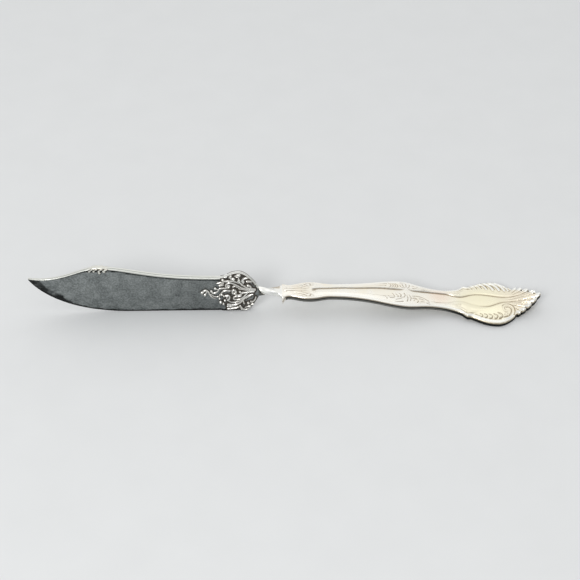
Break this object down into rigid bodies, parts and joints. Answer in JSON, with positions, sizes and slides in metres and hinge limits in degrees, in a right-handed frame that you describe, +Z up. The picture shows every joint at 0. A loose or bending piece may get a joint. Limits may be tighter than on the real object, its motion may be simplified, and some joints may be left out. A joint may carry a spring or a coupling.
{
  "type": "master butter knife",
  "caption": "Silver-plated master butter knife with an upturned humped blade, scrollwork heel, quarter-turn shank and flat leaf-ended handle, standing on its edge.",
  "frame": {"origin": "centre of the knife's plan outline, on the table plane that the cutting edge and the handle's end stand on", "axes": "+X along the knife from the blade's point to the handle's end, +Y across it towards the back face, +Z up"},
  "size_m": [0.184, 0.0218, 0.022],
  "materials": {
    "blade_plate": "satin",
    "bright_silver": "satin",
    "aged_silver": "satin"
  },
  "bodies": {
    "root": {"blade": "blade_plate", "spine_leaf_saddle": "bright_silver", "heel_mount_front": "aged_silver", "heel_mount_back": "aged_silver", "twisted_shank": "bright_silver", "handle": "bright_silver"}
  },
  "joints": []
}
